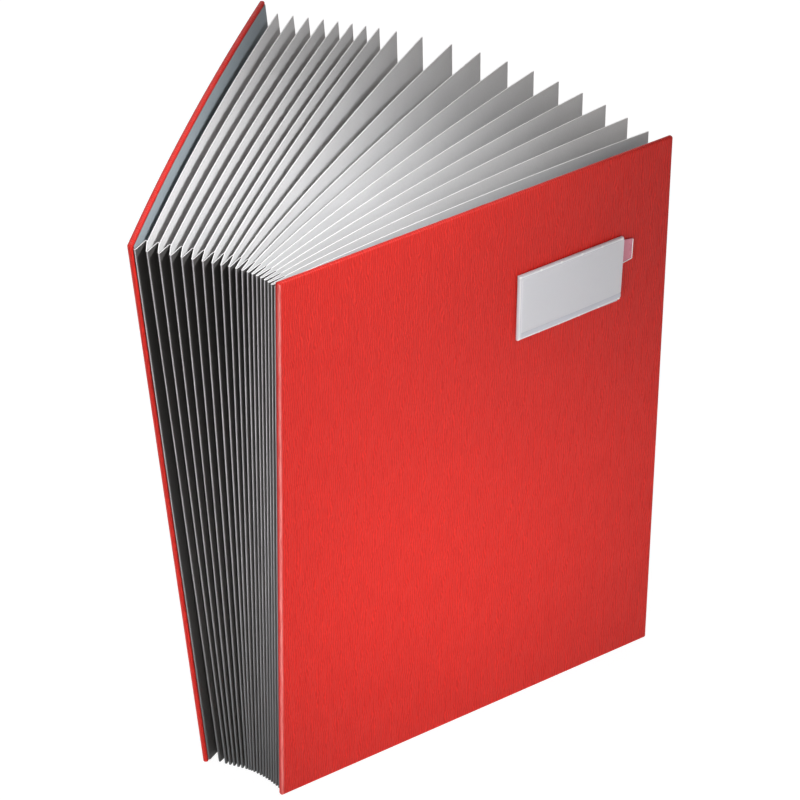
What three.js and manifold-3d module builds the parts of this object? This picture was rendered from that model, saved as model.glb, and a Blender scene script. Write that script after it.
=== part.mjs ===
// Signature book standing on its two covers, fanned open at the fore-edge.
// Nineteen stiff card leaves hang in the inner folds of a concertina spine sheet, and the
// spine sheet ends inside two wrapped boards, so that the book swells as it opens.
// Millimetres, +Z up. Origin: middle of the front cover's standing edge. The front cover's
// outer face looks along -Y, its spine edge is at -X and the leaves lie behind it, at +Y.

import * as THREE from "three";
import { mergeVertices } from "three/addons/utils/BufferGeometryUtils.js";
import Module from "manifold-3d";

// Covers
const COVER_WIDTH = 248;
const COVER_HEIGHT = 340;
const BOARD_THICKNESS = 1.5;
const WRAP_THICKNESS = 0.4;
const TURN_IN = 15;
const COVER_EDGE_ROUNDING = 1.0;
const COVER_CORNER_ROUNDING = 1.3;
const LINING_THICKNESS = 0.3;
const LINING_MARGIN = 5;
const BACK_COVER_ANGLE = 41.4;
const BACK_COVER_BOW = 6;

// Leaves, counted from the back cover to the front cover
const LEAF_COUNT = 19;
const LEAF_LENGTH = 234;
const FOOT_MARGIN = 3;
const HEAD_MARGIN = 4;
const LEAF_HEIGHT = COVER_HEIGHT - FOOT_MARGIN - HEAD_MARGIN;
const LEAF_THICKNESS = 0.55;
const LEAF_BOW = 6;
const LAST_LEAF_ANGLE = 2.5;
const REAR_ANGLE_STEP = 0.6;
const FRONT_ANGLE_STEP = 3.32;
const FAN_OPENS_AT_LEAF = 7;
const FAN_OPEN_FROM_LEAF = 10;

// Concertina spine sheet. Its pleats spread further at the top than at the foot, all but the
// rearmost ones, and that spread tips the leaves and the back cover outwards.
const SPINE_SHEET_THICKNESS = 0.4;
const GUSSET_WIDTH = 9;
const FOLD_RADIUS = 0.5;
const REAR_PITCH = 6.4;
const FRONT_PITCH = 3.2;
const FOOT_PITCH = 2.4;
const EVEN_FRONT_PLEATS = 4;
const EVEN_REAR_PLEATS = 1;
const SPINE_SLANT = 1;
const SPINE_INSET = 1.2;

// Label holder on the front cover and the card in it
const HOLDER_WIDTH = 67;
const HOLDER_HEIGHT = 41;
const HOLDER_TO_FORE_EDGE = 32.5;
const HOLDER_TO_TOP = 51;
const HOLDER_DEPTH = 2.5;
const HOLDER_WALL = 0.45;
const HOLDER_EDGE_ROUNDING = 0.6;
const LUG_REACH = 7.5;
const LUG_FOOT = 20.5;
const LUG_HEIGHT = 15.5;
const LUG_LIP = 1.1;
const CARD_THICKNESS = 0.35;
const CARD_SHORTER_BY = 1.5;

// Clearances and facet counts
const GAP = 0.3;
const OVERCUT = 1;
const SAME_POINT = 1e-4;
const BOW_STEPS = 20;
const CORNER_STEPS = 4;
const EDGE_STEPS = 2;
const FOLD_STEPS = 6;
const SHEET_ROWS = 4;

const COVER_THICKNESS = BOARD_THICKNESS + 2 * (WRAP_THICKNESS + GAP);
const FOLD_REACH = FOLD_RADIUS + SPINE_SHEET_THICKNESS / 2;

const radians = THREE.MathUtils.degToRad;

const RED_LEATHERETTE = { color: 0xc8202a, roughness: 0.5, metalness: 0 };
const GREY_BOARD = { color: 0x8d8880, roughness: 0.95, metalness: 0 };
const GREY_PAPER = { color: 0xc3c6cb, roughness: 0.85, metalness: 0 };
const BLACK_CARD = { color: 0x34302e, roughness: 0.7, metalness: 0 };
const CLEAR_PLASTIC = { color: 0xdfe3ee, roughness: 0.25, metalness: 0 };
const WHITE_CARD = { color: 0xf2f2f4, roughness: 0.8, metalness: 0 };

const wasm = await Module();
wasm.setup();

function toSolid(geometry) {
  const bare = geometry.clone();
  bare.deleteAttribute("normal");
  bare.deleteAttribute("uv");
  const merged = mergeVertices(bare, 1e-5);
  return new wasm.Manifold(new wasm.Mesh({
    numProp: 3,
    vertProperties: new Float32Array(merged.attributes.position.array),
    triVerts: new Uint32Array(merged.index.array),
  }));
}

function toGeometry(solid) {
  const mesh = solid.getMesh();
  const geometry = new THREE.BufferGeometry();
  geometry.setAttribute("position", new THREE.BufferAttribute(mesh.vertProperties, 3));
  geometry.setIndex(new THREE.BufferAttribute(mesh.triVerts, 1));
  geometry.computeVertexNormals();
  return geometry;
}

function namedMesh(name, geometry, finish) {
  const mesh = new THREE.Mesh(geometry, new THREE.MeshStandardMaterial(finish));
  mesh.name = name;
  return mesh;
}

// Plan direction at an angle in degrees, counted from +X towards +Y
function heading(angle) {
  return new THREE.Vector2(Math.cos(radians(angle)), Math.sin(radians(angle)));
}

// The direction a quarter turn to the left of another one
function leftOf(direction) {
  return new THREE.Vector2(-direction.y, direction.x);
}

function smoothRise(value, from, to) {
  return THREE.MathUtils.smoothstep(value, from, to);
}

// A sheet's bow in plan: a circular arc whose chord starts at the origin and lies along +X.
// It swells to the left. along runs down the arc and left is measured square to it.
function bowed(along, left, length, bow) {
  if (bow === 0) {
    return new THREE.Vector2(along, left);
  }
  const turn = radians(bow);
  const radius = length / turn;
  const angle = turn * (along / length - 0.5);
  return new THREE.Vector2(
    radius * Math.sin(turn / 2) + (radius + left) * Math.sin(angle),
    (radius + left) * Math.cos(angle) - radius * Math.cos(turn / 2),
  );
}

// Closed outline of a bowed slab in plan, with its four arrises rounded
function slabOutline({ from, to, right, left, length, bow, rounding }) {
  const points = [];
  const steps = bow === 0 ? 1 : BOW_STEPS;
  const side = (start, end, offset) => {
    for (let i = 0; i <= steps; i += 1) {
      points.push(bowed(start + ((end - start) * i) / steps, offset, length, bow));
    }
  };
  const arris = (along, offset, startAngle) => {
    for (let i = 0; rounding > 0 && i <= CORNER_STEPS; i += 1) {
      const out = heading(startAngle + (90 * i) / CORNER_STEPS).multiplyScalar(rounding);
      points.push(bowed(along + out.x, offset + out.y, length, bow));
    }
  };
  side(from + rounding, to - rounding, right);
  arris(to - rounding, right + rounding, -90);
  arris(to - rounding, left - rounding, 0);
  side(to - rounding, from + rounding, left);
  arris(from + rounding, left - rounding, 90);
  arris(from + rounding, right + rounding, 180);
  return points.filter((point, i) => point.distanceTo(points.at(i - 1)) > SAME_POINT);
}

// A bowed slab from foot to top, with rounded arrises and rounded foot and top edges
function slab(size) {
  const edge = size.edge ?? 0;
  const geometry = new THREE.ExtrudeGeometry(new THREE.Shape(slabOutline(size)), {
    depth: size.top - size.foot - 2 * edge,
    steps: 1,
    bevelEnabled: edge > 0,
    bevelThickness: edge,
    bevelSize: edge,
    bevelOffset: -edge,
    bevelSegments: EDGE_STEPS,
  });
  return geometry.translate(0, 0, size.foot + edge);
}

// One cover in its own frame: the inner face's spine arris is the Z axis and the cover runs
// along +X. inwards is 1 where the book's inside is on the left (+Y) and -1 where it is on
// the right. Depths count inwards from the outer face.
function coverPieces(prefix, inwards, bow) {
  const shape = { length: COVER_WIDTH, bow };
  const between = (outer, inner) => {
    const a = inwards * (outer - COVER_THICKNESS);
    const b = inwards * (inner - COVER_THICKNESS);
    return { right: Math.min(a, b), left: Math.max(a, b) };
  };
  const inset = (margin) => ({
    from: margin,
    to: COVER_WIDTH - margin,
    foot: margin,
    top: COVER_HEIGHT - margin,
  });

  const block = slab({
    ...shape, ...inset(0), ...between(0, COVER_THICKNESS),
    rounding: COVER_CORNER_ROUNDING, edge: COVER_EDGE_ROUNDING,
  });
  const pocket = slab({
    ...shape, ...inset(WRAP_THICKNESS), rounding: 0,
    ...between(WRAP_THICKNESS, COVER_THICKNESS - WRAP_THICKNESS),
  });
  const window = slab({
    ...shape, ...inset(TURN_IN), rounding: 0,
    ...between(COVER_THICKNESS / 2, COVER_THICKNESS + OVERCUT),
  });
  const wrap = toSolid(block).subtract(toSolid(pocket)).subtract(toSolid(window));

  const boardFace = WRAP_THICKNESS + GAP;
  const board = slab({
    ...shape, ...inset(boardFace), rounding: 0,
    ...between(boardFace, boardFace + BOARD_THICKNESS),
  });
  const liningFace = COVER_THICKNESS + GAP;
  const lining = slab({
    ...shape, ...inset(LINING_MARGIN), rounding: 0,
    ...between(liningFace, liningFace + LINING_THICKNESS),
  });

  const cover = new THREE.Group();
  cover.add(namedMesh(`${prefix}_cover_wrap`, toGeometry(wrap), RED_LEATHERETTE));
  cover.add(namedMesh(`${prefix}_cover_board`, board, GREY_BOARD));
  cover.add(namedMesh(`${prefix}_cover_lining`, lining, GREY_PAPER));
  return cover;
}

// Angle of each leaf's chord: the fan is nearly shut at the back and opens at the front
function leafAngles() {
  const angles = new Array(LEAF_COUNT);
  let angle = LAST_LEAF_ANGLE;
  for (let leaf = LEAF_COUNT; leaf >= 1; leaf -= 1) {
    angles[leaf - 1] = angle;
    const open = smoothRise(leaf - 1, FAN_OPENS_AT_LEAF, FAN_OPEN_FROM_LEAF);
    angle += REAR_ANGLE_STEP + (FRONT_ANGLE_STEP - REAR_ANGLE_STEP) * open;
  }
  return angles;
}

// Distance at the top between the inner folds of a leaf and of the next leaf in front
function topPitch(leaf) {
  const crowded = smoothRise(leaf, 1, LEAF_COUNT - EVEN_FRONT_PLEATS);
  return REAR_PITCH + (FRONT_PITCH - REAR_PITCH) * crowded;
}

// Each leaf: chord angle, how far its top stands out over its foot, and the centre of its
// inner fold at the top and at the foot
function leafStations() {
  const angles = leafAngles();
  const splay = THREE.MathUtils.radToDeg(Math.asin(FRONT_PITCH / 2 / GUSSET_WIDTH));
  const spineEnd = new THREE.Vector2(SPINE_INSET, COVER_THICKNESS + GAP + FOLD_REACH);
  const top = spineEnd.addScaledVector(heading(LAST_LEAF_ANGLE + splay), GUSSET_WIDTH);
  const stations = new Array(LEAF_COUNT);
  let overhang = 0;
  for (let leaf = LEAF_COUNT; leaf >= 1; leaf -= 1) {
    const angle = angles[leaf - 1];
    if (leaf < LEAF_COUNT) {
      const between = (angle + angles[leaf]) / 2;
      top.addScaledVector(heading(between + 90 + SPINE_SLANT), topPitch(leaf));
      overhang += leaf > EVEN_REAR_PLEATS ? topPitch(leaf) - FOOT_PITCH : 0;
    }
    stations[leaf - 1] = {
      angle,
      overhang,
      top: top.clone(),
      foot: top.clone().addScaledVector(leftOf(heading(angle)), -overhang),
    };
  }
  return stations;
}

// Outer fold between two inner folds, a gusset's width from both, on the spine's outside
function outerFold(rearInner, frontInner) {
  const across = frontInner.clone().sub(rearInner);
  const half = across.length() / 2;
  const reach = Math.sqrt(GUSSET_WIDTH ** 2 - half ** 2);
  const outwards = leftOf(across).normalize().negate();
  return rearInner.clone().addScaledVector(across, 0.5).addScaledVector(outwards, reach);
}

// Outer fold where the spine sheet meets a cover, on the side that turn points to
function endFold(inner, angle, pitch, turn) {
  const splay = THREE.MathUtils.radToDeg(Math.asin(pitch / 2 / GUSSET_WIDTH));
  return inner.clone().addScaledVector(heading(angle + turn * splay), -GUSSET_WIDTH);
}

// Fold centres from the back cover to the front cover, at the top or at the foot
function foldCentres(stations, level) {
  const first = stations[0];
  const last = stations[stations.length - 1];
  const folds = [endFold(first[level], first.angle, REAR_PITCH, -1)];
  stations.forEach((station, i) => {
    folds.push(station[level]);
    if (i < stations.length - 1) {
      folds.push(outerFold(station[level], stations[i + 1][level]));
    }
  });
  folds.push(endFold(last[level], last.angle, FRONT_PITCH, 1));
  return folds;
}

// Both edges of the folded sheet in plan. The sheet runs round every fold centre at
// FOLD_RADIUS, turning left at outer folds and right at inner ones, straight in between.
function sheetEdges(folds, startAngle, endAngle) {
  const turns = folds.map((_, i) => (i % 2 === 0 ? 1 : -1));
  const panels = folds.slice(1).map((next, i) => {
    const span = next.clone().sub(folds[i]);
    return span.angle() + Math.asin((2 * turns[i] * FOLD_RADIUS) / span.length());
  });
  const directions = [radians(startAngle), ...panels, radians(endAngle)];
  const left = [];
  const right = [];
  folds.forEach((centre, i) => {
    const full = 2 * Math.PI;
    let turn = (directions[i + 1] - directions[i]) % full;
    if (turns[i] > 0 && turn < 0) turn += full;
    if (turns[i] < 0 && turn > 0) turn -= full;
    for (let step = 0; step <= FOLD_STEPS; step += 1) {
      const angle = directions[i] + (turn * step) / FOLD_STEPS;
      const across = new THREE.Vector2(-Math.sin(angle), Math.cos(angle));
      const middle = centre.clone().addScaledVector(across, -turns[i] * FOLD_RADIUS);
      left.push(middle.clone().addScaledVector(across, SPINE_SHEET_THICKNESS / 2));
      right.push(middle.clone().addScaledVector(across, -SPINE_SHEET_THICKNESS / 2));
    }
  });
  return { left, right };
}

// Closed body between a folded sheet at the foot and the same sheet at the top. Its panels
// twist from foot to top, so both sides are divided alike and the wall keeps its thickness.
function foldedSheet(foot, top, footHeight, topHeight) {
  const count = foot.left.length;
  const positions = [];
  for (let row = 0; row <= SHEET_ROWS; row += 1) {
    const share = row / SHEET_ROWS;
    const height = THREE.MathUtils.lerp(footHeight, topHeight, share);
    for (const side of ["left", "right"]) {
      foot[side].forEach((point, i) => {
        const between = point.clone().lerp(top[side][i], share);
        positions.push(between.x, between.y, height);
      });
    }
  }
  const left = (row, i) => 2 * row * count + i;
  const right = (row, i) => left(row, i) + count;
  const index = [];
  const quad = (a, b, c, d) => index.push(a, b, c, a, c, d);
  for (let row = 0; row < SHEET_ROWS; row += 1) {
    const up = row + 1;
    for (let i = 0; i < count - 1; i += 1) {
      quad(left(row, i + 1), left(row, i), left(up, i), left(up, i + 1));
      quad(right(up, i), right(row, i), right(row, i + 1), right(up, i + 1));
    }
    quad(left(row, 0), right(row, 0), right(up, 0), left(up, 0));
    quad(left(up, count - 1), right(up, count - 1), right(row, count - 1), left(row, count - 1));
  }
  for (let i = 0; i < count - 1; i += 1) {
    quad(left(0, i), left(0, i + 1), right(0, i + 1), right(0, i));
    quad(
      right(SHEET_ROWS, i), right(SHEET_ROWS, i + 1),
      left(SHEET_ROWS, i + 1), left(SHEET_ROWS, i),
    );
  }
  const geometry = new THREE.BufferGeometry();
  geometry.setAttribute("position", new THREE.Float32BufferAttribute(positions, 3));
  geometry.setIndex(index);
  geometry.computeVertexNormals();
  return geometry;
}

function concertina(stations) {
  const level = (name) => sheetEdges(
    foldCentres(stations, name), BACK_COVER_ANGLE + BACK_COVER_BOW / 2 + 180, 0,
  );
  const sheet = foldedSheet(
    level("foot"), level("top"), FOOT_MARGIN, FOOT_MARGIN + LEAF_HEIGHT,
  );
  return namedMesh("concertina_spine", sheet, BLACK_CARD);
}

// Angle in radians by which a leaf is tipped outwards
function lean(station) {
  return Math.atan(station.overhang / LEAF_HEIGHT);
}

// A leaf turned to its chord angle and tipped outwards about its foot
function leaf(number, station) {
  const card = slab({
    from: FOLD_REACH + GAP, to: LEAF_LENGTH, length: LEAF_LENGTH, bow: LEAF_BOW,
    right: -LEAF_THICKNESS / 2, left: LEAF_THICKNESS / 2,
    foot: 0, top: LEAF_HEIGHT, rounding: 0,
  });
  const mesh = namedMesh(`leaf_${String(number).padStart(2, "0")}`, card, GREY_PAPER);
  mesh.rotation.set(-lean(station), 0, radians(station.angle), "ZYX");
  mesh.position.set(station.foot.x, station.foot.y, FOOT_MARGIN);
  return mesh;
}

// Holder: a flat pocket open to the right, with a lug at the mouth to push the card out by
function labelHolder() {
  const block = slab({
    from: 0, to: HOLDER_WIDTH, right: -HOLDER_DEPTH, left: 0, length: HOLDER_WIDTH, bow: 0,
    foot: 0, top: HOLDER_HEIGHT, rounding: HOLDER_EDGE_ROUNDING, edge: 0,
  });
  const pocket = slab({
    from: HOLDER_WALL, to: HOLDER_WIDTH + OVERCUT, length: HOLDER_WIDTH, bow: 0,
    right: HOLDER_WALL - HOLDER_DEPTH, left: -HOLDER_WALL,
    foot: HOLDER_WALL, top: HOLDER_HEIGHT - HOLDER_WALL, rounding: 0,
  });
  const lug = slab({
    from: HOLDER_WIDTH - OVERCUT, to: HOLDER_WIDTH + LUG_REACH, length: HOLDER_WIDTH, bow: 0,
    right: -HOLDER_WALL, left: 0,
    foot: LUG_FOOT, top: LUG_FOOT + LUG_HEIGHT, rounding: 0,
  });
  const lip = slab({
    from: HOLDER_WIDTH + LUG_REACH - HOLDER_WALL, to: HOLDER_WIDTH + LUG_REACH,
    length: HOLDER_WIDTH, bow: 0, right: -LUG_LIP, left: 0,
    foot: LUG_FOOT, top: LUG_FOOT + LUG_HEIGHT, rounding: 0,
  });
  const solid = toSolid(block)
    .add(toSolid(lug))
    .add(toSolid(lip))
    .subtract(toSolid(pocket));
  return namedMesh("label_holder", toGeometry(solid), CLEAR_PLASTIC);
}

// The card stands on the pocket's lower wall and lies against its front window
function labelCard() {
  const front = -HOLDER_DEPTH + HOLDER_WALL + GAP;
  const card = slab({
    from: HOLDER_WALL + GAP, to: HOLDER_WIDTH - CARD_SHORTER_BY,
    length: HOLDER_WIDTH, bow: 0, right: front, left: front + CARD_THICKNESS,
    foot: HOLDER_WALL + GAP, top: HOLDER_HEIGHT - HOLDER_WALL - GAP, rounding: 0,
  });
  return namedMesh("label_card", card, WHITE_CARD);
}

function frontCover() {
  const cover = coverPieces("front", 1, 0);
  const label = new THREE.Group();
  label.add(labelHolder(), labelCard());
  label.position.set(
    COVER_WIDTH - HOLDER_TO_FORE_EDGE - HOLDER_WIDTH,
    -COVER_THICKNESS - GAP,
    COVER_HEIGHT - HOLDER_TO_TOP - HOLDER_HEIGHT,
  );
  cover.add(label);
  cover.position.y = COVER_THICKNESS;
  return cover;
}

// The back cover takes its place from the spine sheet's first fold and stands on the floor
function backCover(stations) {
  const cover = coverPieces("back", -1, BACK_COVER_BOW);
  const fold = foldCentres(stations, "top")[0];
  const along = heading(BACK_COVER_ANGLE + BACK_COVER_BOW / 2);
  const outwards = leftOf(heading(BACK_COVER_ANGLE));
  const tip = lean(stations[0]);
  const sideways = (FOOT_MARGIN + LEAF_HEIGHT) * Math.tan(tip);
  const foot = fold.clone()
    .addScaledVector(leftOf(along), FOLD_REACH + GAP)
    .addScaledVector(along, -SPINE_INSET)
    .addScaledVector(outwards, -sideways);
  cover.rotation.set(-tip, 0, radians(BACK_COVER_ANGLE), "ZYX");
  cover.position.set(foot.x, foot.y, 0);
  cover.updateMatrixWorld(true);
  cover.position.z = -new THREE.Box3().setFromObject(cover, true).min.z;
  return cover;
}

function signatureBook() {
  const stations = leafStations();
  const book = new THREE.Group();
  book.add(frontCover(), backCover(stations), concertina(stations));
  stations.forEach((station, i) => book.add(leaf(i + 1, station)));
  book.position.set(-COVER_WIDTH / 2, -COVER_THICKNESS / 2, 0);
  book.updateMatrixWorld(true);
  return book;
}

export default signatureBook();
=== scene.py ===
"""A red signature book, standing fanned open on its two covers.

The frame gives every size and place. Each sub-assembly is a class that measures its solids
in the frame, builds the finer meshes that are seen, and dresses them with its finishes.
"""

import logging
import math
from dataclasses import dataclass, field
from enum import Enum
from typing import Iterable, Sequence

import bmesh
import bpy
import numpy as np
from mathutils import Matrix, Vector


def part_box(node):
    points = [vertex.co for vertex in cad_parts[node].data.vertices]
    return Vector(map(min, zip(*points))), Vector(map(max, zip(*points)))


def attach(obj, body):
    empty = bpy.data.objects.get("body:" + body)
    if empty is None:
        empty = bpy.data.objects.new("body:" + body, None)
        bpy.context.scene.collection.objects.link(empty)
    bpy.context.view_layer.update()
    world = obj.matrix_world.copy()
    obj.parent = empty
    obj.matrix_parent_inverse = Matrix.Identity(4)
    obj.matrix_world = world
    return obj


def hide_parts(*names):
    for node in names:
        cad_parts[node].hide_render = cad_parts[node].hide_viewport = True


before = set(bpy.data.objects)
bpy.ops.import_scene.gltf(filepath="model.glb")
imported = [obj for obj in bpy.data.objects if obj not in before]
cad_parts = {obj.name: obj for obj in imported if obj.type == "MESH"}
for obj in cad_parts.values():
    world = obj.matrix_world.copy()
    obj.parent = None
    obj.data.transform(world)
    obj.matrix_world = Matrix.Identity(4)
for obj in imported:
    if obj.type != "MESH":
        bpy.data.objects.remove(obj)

MM = 0.001
MERGE_DISTANCE = 1e-6
LOG = logging.getLogger("signature_book")
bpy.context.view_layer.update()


class Body(Enum):
    """Material slots of the record. The pieces take their finish from the built finishes, not
    from these slots.
    """

    BLOCK = "book_block"
    FRONT = "front_cover"
    BACK = "back_cover"


class Slot(Enum):
    """Material slots of the record that the pieces take their finish from."""

    LEATHERETTE = "red_leatherette"
    LINING = "grey_paper"
    LEAF = "grey_card"
    SPINE = "black_card"
    HOLDER = "clear_plastic"


Colour = tuple[float, float, float]
Socket = bpy.types.NodeSocket
Material = bpy.types.Material
Piece = bpy.types.Object
Face = tuple[int, ...]


def linear(colour: Colour) -> tuple[float, float, float, float]:
    """Turns a display colour into the linear colour that a shader takes.

    Args:
        colour: Red, green and blue from 0 to 1, as seen on a screen.

    Returns:
        The linear colour with full alpha.
    """
    red, green, blue = (value / 12.92 if value <= 0.04045 else ((value + 0.055) / 1.055) ** 2.4
                        for value in colour)
    return (red, green, blue, 1.0)


class NodeGraph:
    """A node tree under construction, with short calls for the nodes that it needs."""

    def __init__(self, tree: bpy.types.NodeTree) -> None:
        """Takes over a tree."""
        self.tree = tree

    def node(self, kind: str, inputs: dict[str | int, object] | None = None,
             **settings: object) -> bpy.types.Node:
        """Adds a node.

        Args:
            kind: Blender's name for the node type.
            inputs: Output or plain value for each input, by its name or number.
            **settings: Properties of the node.

        Returns:
            The new node.
        """
        made = self.tree.nodes.new(kind)
        for key, value in settings.items():
            setattr(made, key, value)
        for key, value in (inputs or {}).items():
            self.feed(value, made.inputs[key])
        return made

    def feed(self, value: object, target: Socket) -> None:
        """Joins an output to an input, or gives the input a plain value."""
        if isinstance(value, Socket):
            self.tree.links.new(value, target)
        else:
            target.default_value = value

    def math(self, operation: str, *values: Socket | float) -> Socket:
        """Combines numbers and returns the result."""
        return self.node("ShaderNodeMath", dict(enumerate(values)),
                         operation=operation).outputs["Value"]


class ShaderGraph(NodeGraph):
    """A material under construction, with a principled shader at its output."""

    def __init__(self, name: str) -> None:
        """Starts a material of this name."""
        self.material = bpy.data.materials.new(name)
        self.material.use_nodes = True
        super().__init__(self.material.node_tree)
        self.tree.nodes.clear()
        self.output = self.node("ShaderNodeOutputMaterial")
        self.shader = self.node("ShaderNodeBsdfPrincipled")
        self.feed(self.shader.outputs[0], self.output.inputs["Surface"])

    def dress(self, **inputs: object) -> None:
        """Feeds inputs of the principled shader, named with _ for each space."""
        for key, value in inputs.items():
            self.feed(value, self.shader.inputs[key.replace("_", " ")])

    def place(self, scale: Sequence[float], source: str = "Object") -> Socket:
        """Adds a stretched coordinate.

        Args:
            scale: How many pattern units a metre holds along each axis.
            source: Object, or the name of the piece's UV map.

        Returns:
            The vector output of the mapping.
        """
        if source == "Object":
            origin = self.node("ShaderNodeTexCoord").outputs["Object"]
        else:
            origin = self.node("ShaderNodeUVMap", uv_map=source).outputs["UV"]
        return self.node("ShaderNodeMapping",
                         {"Vector": origin, "Scale": scale}).outputs["Vector"]

    def noise(self, vector: Socket, detail: float = 3.0, distortion: float = 0.0) -> Socket:
        """Adds noise on a coordinate and returns its factor output."""
        return self.node("ShaderNodeTexNoise", {
            "Vector": vector, "Scale": 1.0, "Detail": detail, "Distortion": distortion,
        }).outputs["Fac"]

    def ramp(self, source: Socket, low: float, low_colour: Colour, high: float,
             high_colour: Colour) -> Socket:
        """Colours a factor.

        Args:
            source: Factor that runs from 0 to 1.
            low: Factor up to which the low colour holds.
            low_colour: Its display colour.
            high: Factor from which the high colour holds.
            high_colour: Its display colour.

        Returns:
            The colour output.
        """
        made = self.node("ShaderNodeValToRGB", {"Fac": source})
        stops = zip(made.color_ramp.elements, ((low, low_colour), (high, high_colour)))
        for element, (position, colour) in stops:
            element.position, element.color = position, linear(colour)
        return made.outputs["Color"]

    def levels(self, source: Socket, low: float, high: float, to_low: float = 0.0,
               to_high: float = 1.0) -> Socket:
        """Maps a range of a factor onto another range and returns the result."""
        return self.node("ShaderNodeMapRange", {
            "Value": source, "From Min": low, "From Max": high, "To Min": to_low,
            "To Max": to_high,
        }).outputs["Result"]

    def mix(self, factor: Socket, first: Socket | Colour, second: Socket | Colour) -> Socket:
        """Mixes two colours by a factor and returns the result."""
        pair = [linear(value) if isinstance(value, tuple) else value
                for value in (first, second)]
        return self.node("ShaderNodeMix", {"Factor": factor, 6: pair[0], 7: pair[1]},
                         data_type="RGBA").outputs[2]

    def attribute(self, name: str) -> Socket:
        """Reads a number that the piece carries on its points."""
        return self.node("ShaderNodeAttribute", attribute_name=name).outputs["Fac"]

    def bump(self, height: Socket, depth: float) -> None:
        """Adds relief of a depth in metres, which rises where the height factor rises."""
        self.dress(Normal=self.node("ShaderNodeBump", {
            "Strength": 1.0, "Distance": depth, "Height": height}).outputs["Normal"])


@dataclass(frozen=True)
class Finish:
    """A finish, which paints itself on the shader graph of its material."""

    def build(self, name: str) -> Material:
        """Builds the material.

        Args:
            name: Name of the material.

        Returns:
            The painted material.
        """
        graph = ShaderGraph(name)
        self.paint(graph)
        return graph.material

    def paint(self, graph: ShaderGraph) -> None:
        """Adds the finish's own nodes to its material's graph."""
        raise NotImplementedError


@dataclass(frozen=True)
class Leatherette(Finish):
    """Red leatherette with a fine upright wrinkled grain, its hollows darkened with painted
    shade, paler at its arrises with wear and a painted highlight.
    """

    face: Colour = (0.865, 0.135, 0.085)
    # Darker colour of the grain's hollows: painted shade.
    crease_shade: Colour = (0.765, 0.112, 0.078)
    # Pale colour on the arrises: wear and a painted highlight.
    wear_and_highlight: Colour = (0.96, 0.62, 0.60)
    crease_spacing: float = 1.2 * MM
    crease_length: float = 11.0 * MM
    wander: float = 3.2
    pore_share: float = 0.15
    grain_depth: float = 0.18 * MM
    roughness: tuple[float, float] = (0.44, 0.60)

    def paint(self, graph: ShaderGraph) -> None:
        """Paints the grain, with painted shade in its hollows, and the arrises' wear and painted
        highlight, on the piece's UV map in metres.

        Args:
            graph: The material under construction.
        """
        across, down = 1 / self.crease_spacing, 1 / self.crease_length

        def pattern(times_across: float, times_down: float, detail: float) -> Socket:
            scale = (across * times_across, down * times_down, 1.0)
            return graph.noise(graph.place(scale, "surface"), detail)

        split = graph.node("ShaderNodeSeparateXYZ",
                           {0: graph.place((across, 1.0, 1.0), "surface")})
        phase = graph.math("MULTIPLY_ADD", pattern(0.3, 1.0, 2.0), self.wander,
                           split.outputs["X"])
        wave = graph.math("SINE", graph.math("MULTIPLY", phase, math.tau))
        strength = graph.levels(pattern(0.2, 0.6, 1.0), 0.35, 0.65, 0.75, 1.0)
        folds = graph.math("MULTIPLY", graph.levels(wave, -1.0, 1.0), strength)
        relief = graph.math("MULTIPLY_ADD", pattern(3.0, 4.0, 3.0), self.pore_share, folds)
        # The hollows of the grain take the darker colour: painted shade.
        body = graph.mix(graph.levels(relief, 0.1, 0.95), self.crease_shade, self.face)
        patchy = graph.noise(graph.place((500.0, 70.0, 1.0), "surface"))
        # The arris attribute lays on the pale colour: wear and a painted highlight.
        wear_highlight_share = graph.math("MULTIPLY", graph.attribute("arris"),
                          graph.levels(patchy, 0.32, 0.62, 0.35, 1.0))
        graph.dress(Base_Color=graph.mix(wear_highlight_share, body, self.wear_and_highlight), IOR=1.5,
                    Specular_IOR_Level=0.32,
                    Roughness=graph.levels(relief, 0.2, 1.1, *reversed(self.roughness)))
        graph.bump(relief, self.grain_depth)


@dataclass(frozen=True)
class FacedCard(Finish):
    """Stiff card with a smooth face paper: fine fibres and a faint cloudiness."""

    face: Colour
    shade: Colour
    fibre: float = 0.35 * MM
    fibre_share: float = 0.45
    roughness: float = 0.72
    roughness_swing: float = 0.06
    relief: float = 0.03 * MM

    def paint(self, graph: ShaderGraph) -> None:
        """Paints fibres and clouds, on object coordinates.

        Args:
            graph: The material under construction.
        """
        per_fibre = 1 / self.fibre
        fibres = graph.noise(graph.place((per_fibre, per_fibre, per_fibre * 0.35)), 4.0, 0.5)
        cloud = graph.noise(graph.place((22.0, 22.0, 16.0)))
        both = graph.math("ADD", graph.math("MULTIPLY", fibres, self.fibre_share),
                          graph.math("MULTIPLY", cloud, 1 - self.fibre_share))
        rough = graph.levels(fibres, 0.3, 0.7, self.roughness - self.roughness_swing,
                             self.roughness + self.roughness_swing)
        graph.dress(Base_Color=graph.ramp(both, 0.32, self.shade, 0.66, self.face),
                    Roughness=rough, IOR=1.42)
        graph.bump(fibres, self.relief)


@dataclass(frozen=True)
class CutEdge(Finish):
    """The white core of card at a cut edge, with short fibres across it."""

    core: Colour = (1.0, 0.99, 0.99)
    shade: Colour = (0.93, 0.92, 0.92)
    relief: float = 0.04 * MM

    def paint(self, graph: ShaderGraph) -> None:
        """Paints short fibres, on object coordinates.

        Args:
            graph: The material under construction.
        """
        fibres = graph.noise(graph.place((2200.0, 2200.0, 900.0)))
        graph.dress(Base_Color=graph.ramp(fibres, 0.3, self.shade, 0.62, self.core),
                    Roughness=0.9)
        graph.bump(fibres, self.relief)


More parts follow.
